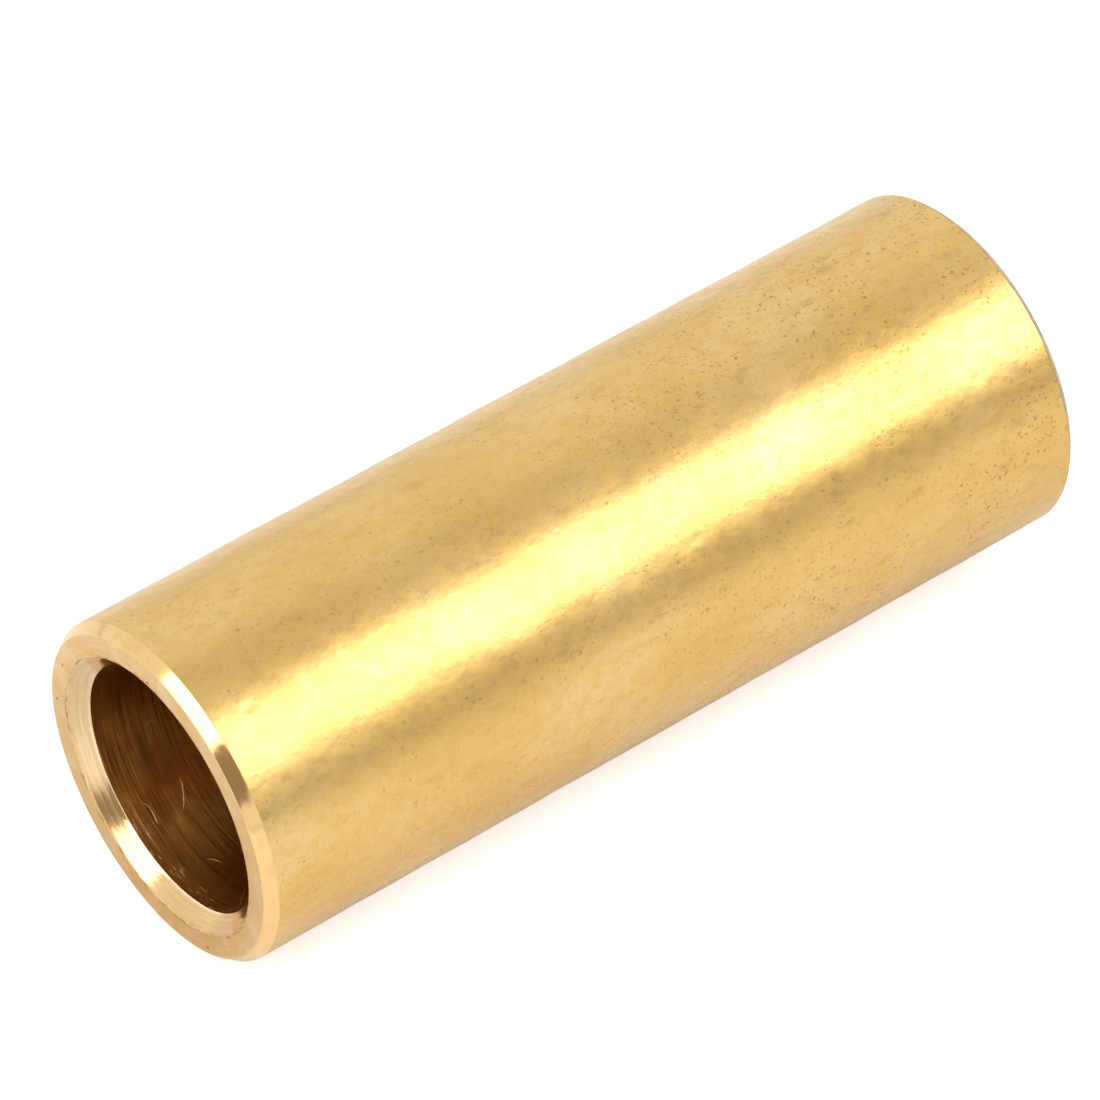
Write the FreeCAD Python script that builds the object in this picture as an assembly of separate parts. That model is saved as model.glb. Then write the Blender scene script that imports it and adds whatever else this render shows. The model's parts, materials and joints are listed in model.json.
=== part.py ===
import FreeCAD, Part
import os

# A guitar slide: one plain round tube turned from solid brass bar. It lies along X with its middle
# over the origin, and rests on the plane z = 0 along the line y = 0. Millimetres.

# Driving dimensions
OUTER_DIAMETER = 22.0
BORE_DIAMETER = 16.0
LENGTH = 60.0
ENTRY_RIM_ALONG = 0.78        # chamfer of the outer edge where the finger enters, along the tube
ENTRY_RIM_ACROSS = 0.54       # the same chamfer, towards the bore: about 35 degrees to the tube
TIP_RIM = 0.42                # chamfer of the outer edge at the tip, at 45 degrees
COUNTERSINK = 1.00            # of the bore's mouth at each end, at 45 degrees

# Worked out from them
BODY_RADIUS = OUTER_DIAMETER / 2
BORE_RADIUS = BORE_DIAMETER / 2
FULL_TURN = 360

Vector = FreeCAD.Vector


def end_corners(side, rim_along, rim_across):
    """Corners of the wall's section at one end, from the bore to the outside. side is -1 or +1 along X."""
    end = side * LENGTH / 2
    return [
        Vector(end - side * COUNTERSINK, 0, BORE_RADIUS),
        Vector(end, 0, BORE_RADIUS + COUNTERSINK),
        Vector(end, 0, BODY_RADIUS - rim_across),
        Vector(end - side * rim_along, 0, BODY_RADIUS),
    ]


def slide_tube():
    """The tube: the wall's section, turned once round the tube's own axis and set down on z = 0."""
    entry = end_corners(-1, ENTRY_RIM_ALONG, ENTRY_RIM_ACROSS)
    tip = end_corners(+1, TIP_RIM, TIP_RIM)
    corners = entry + tip[::-1]
    section = Part.Face(Part.makePolygon(corners + corners[:1]))
    tube = section.revolve(Vector(0, 0, 0), Vector(1, 0, 0), FULL_TURN)
    tube.translate(Vector(0, 0, BODY_RADIUS))
    return tube


PIECES = {"slide_tube": slide_tube}

os.makedirs("parts", exist_ok=True)
for node, make in PIECES.items():
    piece = make()
    piece.exportStep(f"parts/{node}.step")
    box = piece.BoundBox
    print(
        f"{node}: valid {piece.isValid()}, {piece.Volume:.0f} mm3, "
        f"{box.XLength:.2f} x {box.YLength:.2f} x {box.ZLength:.2f} mm, z from {box.ZMin:.3f}"
    )
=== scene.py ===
import json
import math
import random

import bpy
from mathutils import Matrix, Vector, noise
from mathutils.kdtree import KDTree


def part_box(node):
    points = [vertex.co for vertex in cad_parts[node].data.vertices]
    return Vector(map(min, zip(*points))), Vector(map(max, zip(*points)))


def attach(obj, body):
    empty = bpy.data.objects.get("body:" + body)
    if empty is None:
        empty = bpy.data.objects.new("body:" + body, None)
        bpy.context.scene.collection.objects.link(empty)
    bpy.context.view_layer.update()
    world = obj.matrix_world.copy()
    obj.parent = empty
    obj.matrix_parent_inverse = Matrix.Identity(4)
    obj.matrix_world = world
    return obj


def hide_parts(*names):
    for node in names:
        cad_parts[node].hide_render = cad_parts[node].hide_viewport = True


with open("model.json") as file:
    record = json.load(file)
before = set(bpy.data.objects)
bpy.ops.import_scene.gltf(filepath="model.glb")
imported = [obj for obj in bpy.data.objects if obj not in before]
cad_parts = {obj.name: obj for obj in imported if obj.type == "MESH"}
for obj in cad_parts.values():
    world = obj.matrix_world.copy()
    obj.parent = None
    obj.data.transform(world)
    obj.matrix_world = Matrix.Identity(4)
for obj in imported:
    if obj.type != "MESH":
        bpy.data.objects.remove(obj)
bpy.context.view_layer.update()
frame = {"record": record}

# A brass guitar slide: one turned tube lying along X on a pale floor. Lengths are in metres.

MM = 0.001

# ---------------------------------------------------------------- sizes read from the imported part

NODE = "slide_tube"
tube_low, tube_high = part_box(NODE)
CENTRE = (tube_low + tube_high) / 2
HALF_LENGTH = (tube_high.x - tube_low.x) / 2
BODY_RADIUS = (tube_high.z - tube_low.z) / 2
finger_bore = next(m for m in frame["record"]["mounts"] if m["name"] == "finger_bore")
BORE_RADIUS = finger_bore["dims"]["r_mm"] * MM
MOUTH_DEPTH = HALF_LENGTH - finger_bore["dims"]["length_mm"] * MM / 2
MOUTH_RADIUS = BORE_RADIUS + MOUTH_DEPTH        # the countersinks are at 45 degrees

# ---------------------------------------------------------------- sizes of the turned ends

ENTRY_RIM = (0.78 * MM, 0.54 * MM)      # outer chamfer, along the tube and towards the bore
TIP_RIM = (0.42 * MM, 0.42 * MM)
BORE_EDGE_ROUND = 0.12 * MM     # where the bore meets the countersink
MOUTH_EDGE_ROUND = 0.12 * MM    # where the countersink meets the flat ring
RIM_EDGE_ROUND = 0.07 * MM      # where the flat ring meets the outer chamfer
BODY_EDGE_ROUND = 0.14 * MM     # where the outer chamfer meets the body

# ---------------------------------------------------------------- mesh density

AROUND = 300                    # columns of faces round the tube
ROWS = {"body": 215, "rim": 5, "ring": 9, "mouth": 8, "bore": 24}
EDGE_ROWS = 4                   # rows in each rounded edge
ZONES = list(ROWS)              # a zone's place here is its material's index

# ---------------------------------------------------------------- surface of the real metal

SEED = 41
WAVE_LENGTH = 3.0 * MM          # the hand-polished body is slightly uneven
WAVE_HEIGHT = 0.030 * MM
CUT_HEIGHT = 0.0015 * MM        # lathe rings on the faced ends
DENTS = 160                     # shallow knocks from use, scattered over the body
DENT_RADIUS = (0.30 * MM, 0.64 * MM)
DENT_DEPTH = 0.065              # as a share of the dent's radius
DENT_REACH = 0.96               # how far along the body they go, as a share of half its length

# Heights of the marks that are too fine for the mesh.
MOTTLE_HEIGHT = 0.012 * MM
GRAIN_HEIGHT = 0.0075 * MM
SPECK_DEPTH = 0.004 * MM
RIM_MARK_HEIGHT = 0.0010 * MM
RIM_PATCH_HEIGHT = 0.004 * MM
RING_MARK_HEIGHT = 0.0040 * MM
MOUTH_MARK_HEIGHT = 0.0035 * MM
MOUTH_WAVE_HEIGHT = 0.010 * MM
BORE_GROOVE_HEIGHT = 0.0045 * MM
BORE_MARK_HEIGHT = 0.004 * MM
BORE_SCRATCH_HEIGHT = 0.012 * MM

rng = random.Random(SEED)


# ================================================================ the tube's mesh


def rounded(before, corner, after, radius):
    """Points of the arc of that radius that replaces a corner of the wall's section."""
    back = (before - corner).normalized()
    on = (after - corner).normalized()
    half = back.angle(on) / 2
    reach = radius / math.tan(half)
    centre = corner + (back + on).normalized() * (radius / math.sin(half))
    start = (corner + back * reach - centre).normalized()
    end = (corner + on * reach - centre).normalized()
    return [centre + start.slerp(end, k / EDGE_ROWS) * radius for k in range(EDGE_ROWS + 1)]


def end_corners(rim_along, rim_across):
    """Corners of the wall's section at an end that faces -X, from the bore to the outside."""
    return [
        Vector((MOUTH_DEPTH - HALF_LENGTH, BORE_RADIUS)),
        Vector((-HALF_LENGTH, MOUTH_RADIUS)),
        Vector((-HALF_LENGTH, BODY_RADIUS - rim_across)),
        Vector((rim_along - HALF_LENGTH, BODY_RADIUS)),
    ]


def wall_section():
    """The wall's closed outline as (along, radius) points, and the zone of the faces after each."""
    rounds = (BORE_EDGE_ROUND, MOUTH_EDGE_ROUND, RIM_EDGE_ROUND, BODY_EDGE_ROUND)
    tip = [Vector((-c.x, c.y)) for c in end_corners(*TIP_RIM)]
    corners = end_corners(*ENTRY_RIM) + tip[::-1]
    radii = rounds + rounds[::-1]
    zones = ("mouth", "ring", "rim", "body", "rim", "ring", "mouth", "bore")
    arcs = [
        rounded(corners[i - 1], corner, corners[(i + 1) % len(corners)], radii[i])
        for i, corner in enumerate(corners)
    ]
    points, face_zones = [], []
    for i, arc in enumerate(arcs):
        zone = zones[i]
        following = arcs[(i + 1) % len(arcs)][0]
        points += arc[:-1]
        face_zones += [zone] * EDGE_ROWS
        rows = ROWS[zone]
        points += [arc[-1].lerp(following, k / rows) for k in range(rows)]
        face_zones += [zone] * rows
    return points, face_zones


def outward(points, i):
    """The direction out of the metal at one point of the section."""
    along = points[(i + 1) % len(points)] - points[i - 1]
    return Vector((-along.y, along.x)).normalized()


def scattered_dents():
    """Places on the body for the dents, in a search tree, and the radius of each."""
    places = KDTree(DENTS)
    radii = []
    smallest, largest = DENT_RADIUS
    for n in range(DENTS):
        along = rng.uniform(-DENT_REACH, DENT_REACH) * HALF_LENGTH
        angle = rng.uniform(0, math.tau)
        spoke = Vector((0, math.cos(angle), math.sin(angle)))
        places.insert(Vector((along, 0, 0)) + spoke * BODY_RADIUS, n)
        radii.append(smallest + (largest - smallest) * rng.random() ** 2)
    places.balance()
    return places, radii


def relief(zone, place, cut, dents):
    """How far the metal stands proud of its section at a place. The lathe's cut is -1 to 1 there."""
    if zone == "body":
        places, radii = dents
        _, nearest, away = places.find(place)
        radius = radii[nearest]
        hollow = max(0.0, 1 - (away / radius) ** 2) ** 2
        return WAVE_HEIGHT * noise.noise(place / WAVE_LENGTH) - DENT_DEPTH * radius * hollow
    if zone in ("ring", "mouth"):
        return CUT_HEIGHT * cut
    return 0.0


def tube_mesh():
    """The whole tube as one closed mesh, row by row of the wall's section."""
    section, zones = wall_section()
    dents = scattered_dents()
    verts, faces, slots = [], [], []
    for i, point in enumerate(section):
        normal = outward(section, i)
        cut = rng.uniform(-1, 1)
        for j in range(AROUND):
            angle = math.tau * j / AROUND
            spoke = Vector((0, math.cos(angle), math.sin(angle)))
            place = Vector((point.x, 0, 0)) + spoke * point.y
            out = Vector((normal.x, 0, 0)) + spoke * normal.y
            verts.append(CENTRE + place + out * relief(zones[i], place, cut, dents))

    def corner(i, j):
        return (i % len(section)) * AROUND + j % AROUND

    for i, zone in enumerate(zones):
        for j in range(AROUND):
            faces.append((corner(i, j), corner(i, j + 1), corner(i + 1, j + 1), corner(i + 1, j)))
            slots.append(ZONES.index(zone))
    mesh = bpy.data.meshes.new("guitar_slide")
    mesh.from_pydata(verts, [], faces)
    mesh.polygons.foreach_set("material_index", slots)
    mesh.polygons.foreach_set("use_smooth", [True] * len(faces))
    mesh.update()
    return mesh


# ================================================================ materials

RING_OUTWARD = 2.3      # how many times more a step outwards counts than one along, in a lathe's rings


class Tree:
    """The node tree of a material or of the world, with short calls for the nodes used here."""

    def __init__(self, owner):
        owner.use_nodes = True
        self.nodes = owner.node_tree.nodes
        self.links = owner.node_tree.links

    def feed(self, value, socket):
        """Links a node's output to a socket, or sets the socket's own value."""
        if isinstance(value, bpy.types.NodeSocket):
            self.links.new(value, socket)
        else:
            socket.default_value = value

    def math(self, operation, *values):
        node = self.nodes.new("ShaderNodeMath")
        node.operation = operation
        for value, socket in zip(values, node.inputs):
            self.feed(value, socket)
        return node.outputs[0]

    def times(self, first, second):
        return self.math("MULTIPLY", first, second)

    def vector(self, x, y, z):
        node = self.nodes.new("ShaderNodeCombineXYZ")
        for value, socket in zip((x, y, z), node.inputs):
            self.feed(value, socket)
        return node.outputs[0]

    def noise(self, where, per_mm, detail=2.0, rough=0.5):
        node = self.nodes.new("ShaderNodeTexNoise")
        self.feed(where, node.inputs["Vector"])
        node.inputs["Scale"].default_value = per_mm
        node.inputs["Detail"].default_value = detail
        node.inputs["Roughness"].default_value = rough
        return node.outputs["Fac"]

    def remap(self, value, low, high, to_low, to_high):
        node = self.nodes.new("ShaderNodeMapRange")
        node.interpolation_type = "SMOOTHSTEP"
        for v, socket in zip((value, low, high, to_low, to_high), node.inputs):
            self.feed(v, socket)
        return node.outputs[0]

    def between(self, share, first, second):
        """A number that goes from the first to the second as the share goes from 0 to 1."""
        node = self.nodes.new("ShaderNodeMix")
        numbers = [s for s in node.inputs if s.type == "VALUE"]
        for value, socket in zip((share, first, second), numbers):
            self.feed(value, socket)
        return next(s for s in node.outputs if s.type == "VALUE")

    def mix(self, share, first, second):
        """A colour that goes from the first to the second as the share goes from 0 to 1."""
        node = self.nodes.new("ShaderNodeMix")
        node.data_type = "RGBA"
        colours = [s for s in node.inputs if s.type == "RGBA"]
        for value, socket in zip((share, first, second), (node.inputs[0], *colours)):
            self.feed(value, socket)
        return next(s for s in node.outputs if s.type == "RGBA")

    def bump(self, height, distance, under=None):
        node = self.nodes.new("ShaderNodeBump")
        node.inputs["Distance"].default_value = distance
        self.feed(height, node.inputs["Height"])
        if under is not None:
            self.feed(under, node.inputs["Normal"])
        return node.outputs[0]

    def metal(self, tone, roughness, normal):
        """Gives the material's shader what makes it a metal, and returns the shader's sockets."""
        sockets = self.nodes["Principled BSDF"].inputs
        self.feed(tone, sockets["Base Color"])
        self.feed(roughness, sockets["Roughness"])
        self.feed(normal, sockets["Normal"])
        sockets["Metallic"].default_value = 1.0
        return sockets


def colour(red, green, blue):
    return (red, green, blue, 1.0)


BRASS = colour(0.80, 0.54, 0.20)
BRASS_DEEP = colour(0.68, 0.42, 0.11)
BRASS_PALE = colour(0.84, 0.62, 0.34)
STAIN = colour(0.50, 0.30, 0.09)
SPOT = colour(0.35, 0.19, 0.05)
GRIME = colour(0.20, 0.12, 0.05)
RIM_BRASS = colour(0.92, 0.62, 0.28)
RING_BRASS = colour(0.82, 0.54, 0.26)
RING_ORANGE = colour(0.76, 0.46, 0.15)
MOUTH_BRASS = colour(0.90, 0.66, 0.38)
MOUTH_GREY = colour(0.64, 0.44, 0.25)
# Partly newly cut brass and partly a painted highlight on the burr at the bore's edge.
FRESH_EDGE_AND_HIGHLIGHT = colour(0.97, 0.78, 0.52)
# The bore's browns are darker than the body's brass partly for its own oxidised, unpolished cut and
# partly as painted shade of the deep hole.
BORE_BRASS = colour(0.70, 0.35, 0.07)
BORE_DARK = colour(0.42, 0.17, 0.03)
# Also the colour of the painted glints on nicks low in the bore's ends.
BORE_STREAK_AND_GLINT = colour(0.92, 0.64, 0.32)
# The darker colour of the tip's chamfer, laid on in patches.
TIP_DARK = colour(0.30, 0.20, 0.12)


class Place:
    """Coordinates on the tube in millimetres, measured from its middle, for one material's nodes."""

    def __init__(self, tree):
        split = tree.nodes.new("ShaderNodeSeparateXYZ")
        tree.feed(tree.nodes.new("ShaderNodeTexCoord").outputs["Object"], split.inputs[0])
        self.tree = tree
        self.x = tree.math("DIVIDE", split.outputs[0], MM)
        self.y = tree.math("DIVIDE", split.outputs[1], MM)
        self.z = tree.math("DIVIDE", tree.math("SUBTRACT", split.outputs[2], CENTRE.z), MM)
        squares = tree.math("ADD", tree.times(self.y, self.y), tree.times(self.z, self.z))
        self.radius = tree.math("SQRT", squares)
        self.all = tree.vector(self.x, self.y, self.z)

    def scaled(self, along, per_mm_along, per_mm_across):
        """A value along the tube and the place across it, each scaled, to stretch a pattern."""
        tree = self.tree
        return tree.vector(
            tree.times(along, per_mm_along),
            tree.times(self.y, per_mm_across),
            tree.times(self.z, per_mm_across),
        )

    def stretched(self, per_mm_along, per_mm_across):
        """The place, scaled for patterns that are drawn out in one direction."""
        return self.scaled(self.x, per_mm_along, per_mm_across)

    def shaken(self, per_mm, reach):
        """The place, moved about at random by up to the reach, to make outlines ragged."""
        shake = self.tree.nodes.new("ShaderNodeTexNoise")
        shake.inputs["Scale"].default_value = per_mm
        self.tree.feed(self.all, shake.inputs["Vector"])
        offset = self.tree.nodes.new("ShaderNodeVectorMath")
        offset.operation = "MULTIPLY_ADD"
        self.tree.feed(shake.outputs["Color"], offset.inputs[0])
        offset.inputs[1].default_value = (reach, reach, reach)
        self.tree.feed(self.all, offset.inputs[2])
        return offset.outputs[0]

    def rings(self, per_mm, per_mm_across, detail=4.0):
        """Fine rings left by a lathe tool, each fading in and out along its way round."""
        along = self.tree.math("MULTIPLY_ADD", self.radius, RING_OUTWARD, self.x)
        return self.tree.noise(self.scaled(along, per_mm, per_mm_across), 1.0, detail, 0.6)


def hairlines(tree, where, per_mm, thickness, share):
    """Thin wandering scratch lines: the contour of a smooth field, more of it kept at a larger share.
    """
    field = tree.noise(where, per_mm, detail=1.0)
    off_line = tree.math("ABSOLUTE", tree.math("SUBTRACT", field, 0.5))
    line = tree.remap(off_line, thickness * 0.3, thickness, 1.0, 0.0)
    kept = tree.noise(where, per_mm * 1.7, detail=0.0)
    return tree.times(line, tree.remap(kept, 1.0 - share, 1.08 - share, 0.0, 1.0))


def spots(tree, where, per_mm, largest, share):
    """Soft round spots, of up to the largest radius, in that share of a random pattern's cells."""
    cells = tree.nodes.new("ShaderNodeTexVoronoi")
    cells.inputs["Scale"].default_value = per_mm
    tree.feed(where, cells.inputs["Vector"])
    pick = tree.nodes.new("ShaderNodeSeparateColor")
    tree.feed(cells.outputs["Color"], pick.inputs[0])
    size = tree.remap(pick.outputs[0], 1.0 - share, 1.0, 0.0, largest * per_mm)
    inside = tree.math("SUBTRACT", size, cells.outputs["Distance"])
    return tree.remap(inside, 0.0, largest * per_mm * 0.4, 0.0, 1.0)


def specks_and_dirt(tree, place):
    """Where the body has brown specks, and how dirty it is there, which is most near the tip."""
    near_tip = tree.remap(place.x, -15.0, 28.0, 0.55, 1.0)
    clusters = tree.remap(tree.noise(place.all, 0.22, detail=1.0), 0.35, 0.60, 0.45, 1.0)
    dirty = tree.times(near_tip, clusters)
    gritty = tree.math("MULTIPLY_ADD", dirty, 0.05, tree.noise(place.all, 4.2, detail=2.0))
    flecks = tree.remap(gritty, 0.63, 0.73, 0.0, 0.85)
    round_spots = spots(tree, place.shaken(4.0, 0.25), 1.4, 0.15, 0.60)
    return tree.times(tree.math("MAXIMUM", flecks, round_spots), dirty), dirty


def satin_body():
    """The polished outside: brass with soft clouds, a fine mottle, brown specks and stains."""
    material = bpy.data.materials.new("satin_brass")
    tree = Tree(material)
    place = Place(tree)
    specks, dirty = specks_and_dirt(tree, place)
    clouds = tree.noise(place.stretched(0.09, 0.16), 1.0, detail=2.0)
    mottle = tree.noise(place.stretched(0.9, 1.3), 1.0, detail=1.0)
    grain = tree.noise(place.all, 2.2, detail=1.0)
    blotches = tree.noise(place.stretched(0.5, 1.0), 1.0, detail=3.0)
    stains = tree.times(tree.remap(blotches, 0.54, 0.72, 0.0, 0.45), dirty)
    tone = tree.mix(tree.remap(clouds, 0.35, 0.65, 0.0, 0.45), BRASS, BRASS_DEEP)
    tone = tree.mix(tree.remap(clouds, 0.48, 0.30, 0.0, 0.25), tone, BRASS_PALE)
    tone = tree.mix(tree.remap(mottle, 0.40, 0.75, 0.0, 0.30), tone, BRASS_DEEP)
    tone = tree.mix(tree.remap(grain, 0.40, 0.75, 0.0, 0.25), tone, BRASS_DEEP)
    tone = tree.mix(stains, tone, STAIN)
    tone = tree.mix(tree.times(specks, 0.75), tone, SPOT)
    rough = tree.bump(grain, GRAIN_HEIGHT, tree.bump(mottle, MOTTLE_HEIGHT))
    pitted = tree.bump(tree.times(specks, -1.0), SPECK_DEPTH, rough)
    tree.metal(tone, tree.remap(mottle, 0.25, 0.75, 0.24, 0.33), pitted)
    return material


def rim_metal():
    """The outer chamfers: cut bright and hardly worn. The tip's is darker, in patches."""
    material = bpy.data.materials.new("rim_brass")
    tree = Tree(material)
    place = Place(tree)
    marks = place.rings(5.0, 0.10)
    patches = tree.noise(place.all, 1.1, detail=3.0)
    at_tip = tree.remap(place.x, 0.0, 10.0, 0.0, 1.0)
    # The tip's chamfer is darker, in patches.
    tip_darkening = tree.times(at_tip, tree.remap(patches, 0.35, 0.60, 0.55, 0.85))
    tone = tree.mix(tree.remap(marks, 0.35, 0.7, 0.0, 0.40), RIM_BRASS, BRASS)
    tone = tree.mix(tree.remap(patches, 0.50, 0.72, 0.0, 0.40), tone, RING_ORANGE)
    tone = tree.mix(tip_darkening, tone, TIP_DARK)
    uneven = tree.bump(marks, RIM_MARK_HEIGHT, tree.bump(patches, RIM_PATCH_HEIGHT))
    tree.metal(tone, tree.remap(patches, 0.3, 0.7, 0.08, 0.14), uneven)
    return material


def ring_metal():
    """The faced ends: fine turning rings, orange tarnished patches, and grime along the countersink's
    edge.
    """
    material = bpy.data.materials.new("ring_brass")
    tree = Tree(material)
    place = Place(tree)
    marks = place.rings(3.2, 0.10)
    patches = tree.noise(place.all, 0.5, detail=4.0)
    from_mouth = tree.math("SUBTRACT", place.radius, MOUTH_RADIUS / MM)
    dashes = tree.remap(place.rings(1.6, 1.1, detail=3.0), 0.50, 0.62, 0.0, 0.75)
    grime = tree.times(dashes, tree.remap(from_mouth, 0.08, 0.24, 1.0, 0.0))
    inner = tree.remap(from_mouth, 0.35, 0.90, 0.60, 0.0)
    orange = tree.times(inner, tree.remap(patches, 0.35, 0.60, 0.35, 1.0))
    tone = tree.mix(tree.remap(marks, 0.35, 0.7, 0.0, 0.40), RING_BRASS, BRASS_DEEP)
    tone = tree.mix(tree.remap(patches, 0.45, 0.65, 0.0, 0.60), tone, RING_ORANGE)
    tone = tree.mix(tree.remap(patches, 0.46, 0.34, 0.0, 0.50), tone, MOUTH_BRASS)
    tone = tree.mix(orange, tone, RING_ORANGE)
    tone = tree.mix(grime, tone, SPOT)
    tone = tree.mix(spots(tree, place.all, 0.7, 0.13, 0.25), tone, GRIME)
    scratch = hairlines(tree, place.all, 0.5, 0.012, 0.5)
    height = tree.math("SUBTRACT", marks, tree.times(scratch, 0.8))
    tree.metal(tone, tree.remap(marks, 0.3, 0.7, 0.24, 0.36), tree.bump(height, RING_MARK_HEIGHT))
    return material


def mouth_metal():
    """The countersinks: bright, streaked round by the tool, with a paler edge at the bore, partly
    newly cut brass and partly a painted highlight on its burr.
    """
    material = bpy.data.materials.new("mouth_brass")
    tree = Tree(material)
    place = Place(tree)
    marks = place.rings(6.0, 0.20)
    broad = place.rings(2.2, 0.16, detail=2.0)
    patches = tree.noise(place.all, 0.9, detail=4.0)
    from_bore = tree.math("SUBTRACT", place.radius, BORE_RADIUS / MM)
    at_bore = tree.remap(from_bore, 0.04, 0.14, 1.0, 0.0)
    # Painted highlight: the edge at the bore is paler, partly newly cut brass and partly the shine of
    # its burr.
    bore_edge_and_highlight = tree.times(at_bore, tree.remap(patches, 0.3, 0.5, 0.2, 1.0))
    at_ring = tree.remap(from_bore, 0.80, 0.98, 0.0, 1.0)
    grime = tree.times(tree.remap(patches, 0.52, 0.66, 0.0, 0.35), at_ring)
    tone = tree.mix(tree.remap(marks, 0.42, 0.62, 0.0, 0.50), MOUTH_BRASS, MOUTH_GREY)
    tone = tree.mix(tree.remap(broad, 0.45, 0.70, 0.0, 0.45), tone, RING_ORANGE)
    tone = tree.mix(tree.remap(place.z, -3.0, -8.0, 0.0, 0.45), tone, RING_ORANGE)
    tone = tree.mix(grime, tone, GRIME)
    tone = tree.mix(bore_edge_and_highlight, tone, FRESH_EDGE_AND_HIGHLIGHT)
    uneven = tree.bump(marks, MOUTH_MARK_HEIGHT, tree.bump(broad, MOUTH_WAVE_HEIGHT))
    tree.metal(tone, tree.remap(marks, 0.3, 0.7, 0.09, 0.20), uneven)
    return material


def bore_scratches_and_glints(tree, place):
    """Where the bore is scraped bare: a few hairlines, and nicks low down just inside its ends, which
    carry painted glints where the light catches them.
    """
    bore_end = (HALF_LENGTH - MOUTH_DEPTH) / MM
    from_end = tree.math("SUBTRACT", tree.math("ABSOLUTE", place.x), bore_end)
    lip = tree.remap(from_end, -1.4, -0.6, 0.0, 1.0)
    low = tree.remap(place.z, -5.5, -7.0, 0.0, 1.0)
    # Painted glints: the nicks are coloured bright only low down, where the light catches them.
    nicks = tree.remap(tree.noise(place.stretched(7.0, 0.9), 1.0, detail=3.0), 0.60, 0.68, 0.0, 0.9)
    glints = tree.times(nicks, tree.times(lip, low))
    return tree.math("MAXIMUM", hairlines(tree, place.all, 0.22, 0.004, 0.42), glints)


def bored_metal():
    """The inside of the bore: brass browned partly by its own oxidised, unpolished cut and partly as
    painted shade of the deep hole, grooved round and round by the boring bar, with more painted shade
    on two sides.
    """
    material = bpy.data.materials.new("bored_brass")
    tree = Tree(material)
    place = Place(tree)
    scratches_and_glints = bore_scratches_and_glints(tree, place)
    grooves = place.rings(4.5, 0.22)
    fine = place.rings(13.0, 0.20)
    patches = tree.noise(place.all, 0.30, detail=3.0)
    scraped = tree.remap(tree.noise(place.all, 0.16, detail=2.0), 0.42, 0.58, 0.15, 0.75)
    streaks = tree.times(tree.remap(fine, 0.54, 0.70, 0.0, 1.0), scraped)
    # Painted shade: darker where y + z is far from zero, on the two sides of the bore away from the
    # light that gets in.
    slanted = tree.math("ADD", place.y, place.z)
    painted_bore_shade = tree.remap(tree.math("ABSOLUTE", slanted), 3.0, 9.5, 0.0, 0.9)
    tone = tree.mix(tree.remap(patches, 0.40, 0.62, 0.0, 0.7), BORE_BRASS, BORE_DARK)
    tone = tree.mix(tree.remap(fine, 0.35, 0.50, 0.35, 0.0), tone, BORE_DARK)
    tone = tree.mix(streaks, tone, BORE_STREAK_AND_GLINT)
    tone = tree.mix(painted_bore_shade, tone, BORE_DARK)
    # Bare scratches, and painted glints on the nicks low in the bore's ends.
    tone = tree.mix(scratches_and_glints, tone, BORE_STREAK_AND_GLINT)
    grooved = tree.bump(fine, BORE_MARK_HEIGHT, tree.bump(grooves, BORE_GROOVE_HEIGHT))
    scratched = tree.bump(scratches_and_glints, BORE_SCRATCH_HEIGHT, grooved)
    sockets = tree.metal(tone, tree.remap(fine, 0.3, 0.7, 0.26, 0.40), scratched)
    sockets["Anisotropic"].default_value = 0.75
    tree.feed(tree.vector(1.0, 0.0, 0.0), sockets["Tangent"])
    return material


# ================================================================ the piece

guitar_slide = bpy.data.objects.new("guitar_slide", tube_mesh())
bpy.context.scene.collection.objects.link(guitar_slide)
for material in (satin_body(), rim_metal(), ring_metal(), mouth_metal(), bored_metal()):
    guitar_slide.data.materials.append(material)

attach(guitar_slide, "root")
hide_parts(NODE)


# ================================================================ floor, light and camera

FLOOR_HALF_WIDTH = 8.0
TABLE_WHITE = colour(0.76, 0.76, 0.76)
TABLE_GLOW = 0.50

UP = Vector((0, 0, 1))
WHITE = colour(1.0, 1.0, 1.0)
CEILING_LEVEL = 0.76                                # the darker parts, as shares of the white
ROOM_TOWARDS = Vector((0.423, -0.906, 0))           # a dim part of the room
ROOM_LEVEL = 0.62
PERSON_TOWARDS = Vector((-0.819, -0.435, 0.375))    # the photographer, dark, beside the camera
PERSON_LEVEL = 0.35
PERSON_TINT = colour(1.0, 0.84, 0.72)

KEY_PLACE = Vector((0.239, -0.284, 0.407))          # places are from the slide's middle
KEY_SIZE = (0.80, 0.35)
KEY_RADIANCE = 2.2
PANEL_PLACE = Vector((-0.447, 0.035, 0.296))
PANEL_BACK = Vector((-0.335, 0.028, 0.942))
PANEL_SIDE = Vector((0.084, 0.996, 0))
PANEL_SIZE = (0.38, 0.40)
PANEL_RADIANCE = 2.7

CAMERA_AZIMUTH = -37.62         # degrees, from the slide's side towards its entry end
CAMERA_ELEVATION = 45.31
CAMERA_DISTANCE = 485.5 * MM
CAMERA_LENS = 268.2
SLIDE_RIGHT = 1.07 * MM         # where the slide's middle lies, from the picture's middle
SLIDE_UP = -1.25 * MM


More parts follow.
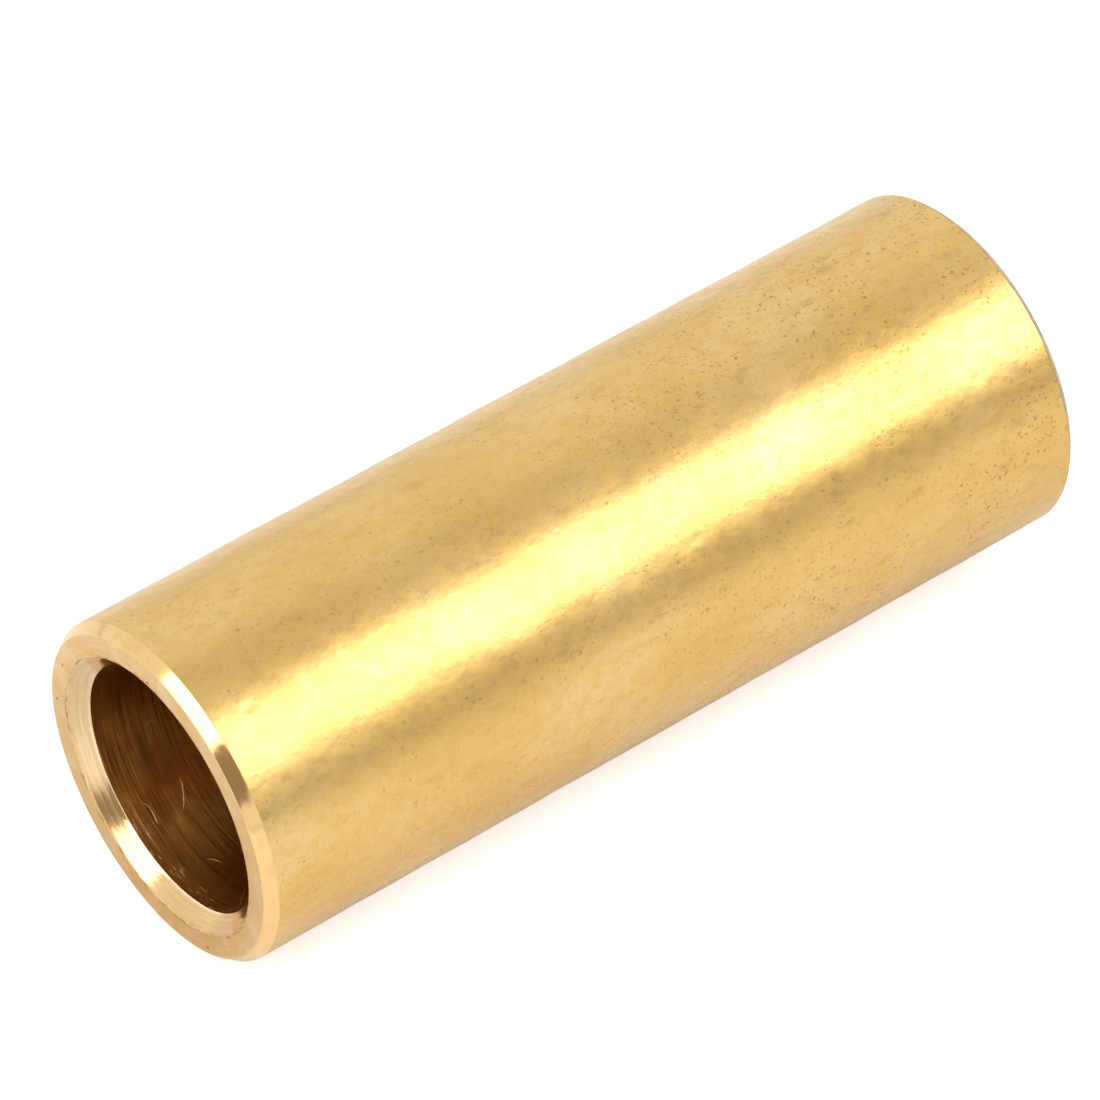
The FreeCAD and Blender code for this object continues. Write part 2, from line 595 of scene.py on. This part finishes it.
def pale_floor():
    """A white table, with a glow that only the camera sees, which keeps the slide's shadow faint."""
    material = bpy.data.materials.new("white_floor")
    tree = Tree(material)
    seen = tree.nodes.new("ShaderNodeLightPath").outputs["Is Camera Ray"]
    sockets = tree.nodes["Principled BSDF"].inputs
    tree.feed(tree.times(seen, TABLE_GLOW), sockets["Emission Strength"])
    sockets["Emission Color"].default_value = WHITE
    sockets["Base Color"].default_value = TABLE_WHITE
    sockets["Roughness"].default_value = 0.9
    sockets["Specular IOR Level"].default_value = 0.0
    mesh = bpy.data.meshes.new("floor")
    signs = ((-1, -1), (1, -1), (1, 1), (-1, 1))
    corners = [(x * FLOOR_HALF_WIDTH, y * FLOOR_HALF_WIDTH, 0) for x, y in signs]
    mesh.from_pydata(corners, [], [(0, 1, 2, 3)])
    mesh.materials.append(material)
    floor = bpy.data.objects.new("floor", mesh)
    bpy.context.scene.collection.objects.link(floor)
    return floor


def softbox(name, place, back, side, size, radiance):
    """A rectangular light with its back turned that way, and its width along the side given."""
    back = back.normalized()
    side = (side - back * side.dot(back)).normalized()
    wide, high = size
    light = bpy.data.lights.new(name, "AREA")
    light.shape = "RECTANGLE"
    light.size = wide
    light.size_y = high
    light.energy = radiance * math.pi * wide * high
    box = bpy.data.objects.new(name, light)
    bpy.context.scene.collection.objects.link(box)
    turned = Matrix((side, back.cross(side), back)).transposed().to_4x4()
    box.matrix_world = Matrix.Translation(CENTRE + place) @ turned
    box.visible_camera = False


def white_room():
    """White surroundings with three darker parts: overhead, low down in front, and a person."""
    world = bpy.data.worlds.new("white_room")
    bpy.context.scene.world = world
    tree = Tree(world)
    direction = tree.nodes.new("ShaderNodeTexCoord").outputs["Generated"]

    def level_along(towards, outer, inner, at_outer, at_inner):
        """A level that changes between two angles, in degrees, away from a part of the room."""
        along = tree.nodes.new("ShaderNodeVectorMath")
        along.operation = "DOT_PRODUCT"
        along.inputs[1].default_value = towards
        tree.feed(direction, along.inputs[0])
        low = math.cos(math.radians(outer))
        high = math.cos(math.radians(inner))
        return tree.remap(along.outputs["Value"], low, high, at_outer, at_inner)

    front = level_along(ROOM_TOWARDS, 50, 25, 0.0, 1.0)
    above_table = level_along(UP, 87, 82, 0.0, 1.0)
    below_light = level_along(UP, 68, 63, 1.0, 0.0)
    person = level_along(PERSON_TOWARDS, 20, 15, 0.0, 1.0)
    ceiling = level_along(UP, 38.74, 29.54, 1.0, CEILING_LEVEL)
    in_front = tree.times(front, tree.times(above_table, below_light))
    level = tree.between(in_front, ceiling, ROOM_LEVEL)
    level = tree.between(person, level, PERSON_LEVEL)
    seen = tree.nodes.new("ShaderNodeLightPath").outputs["Is Camera Ray"]
    tint = tree.nodes.new("ShaderNodeValToRGB")
    tint.color_ramp.elements[0].color = WHITE
    tint.color_ramp.elements[1].color = PERSON_TINT
    tree.feed(person, tint.inputs["Fac"])
    background = tree.nodes["Background"].inputs
    tree.feed(tree.between(seen, level, 1.0), background["Strength"])
    tree.feed(tint.outputs["Color"], background["Color"])


def long_lens_camera():
    """The scene's camera, far off with a long lens, and the slide a little off its middle."""
    turn = math.radians(CAMERA_AZIMUTH)
    rise = math.radians(CAMERA_ELEVATION)
    level = Vector((math.sin(turn), -math.cos(turn), 0))
    back = level * math.cos(rise) + UP * math.sin(rise)
    right = Vector((math.cos(turn), math.sin(turn), 0))
    up = back.cross(right)
    data = bpy.data.cameras.new("camera")
    data.lens = CAMERA_LENS
    data.clip_start = 0.01
    data.clip_end = 20.0
    camera = bpy.data.objects.new("camera", data)
    bpy.context.scene.collection.objects.link(camera)
    camera.location = CENTRE + back * CAMERA_DISTANCE - right * SLIDE_RIGHT - up * SLIDE_UP
    camera.rotation_mode = "QUATERNION"
    camera.rotation_quaternion = (-back).to_track_quat("-Z", "Y")
    bpy.context.scene.camera = camera


pale_floor()
softbox("key_strip", KEY_PLACE, KEY_PLACE, Vector((1, 0, 0)), KEY_SIZE, KEY_RADIANCE)
softbox("end_panel", PANEL_PLACE, PANEL_BACK, PANEL_SIDE, PANEL_SIZE, PANEL_RADIANCE)
white_room()
long_lens_camera()
bpy.context.scene.view_settings.view_transform = "Standard"
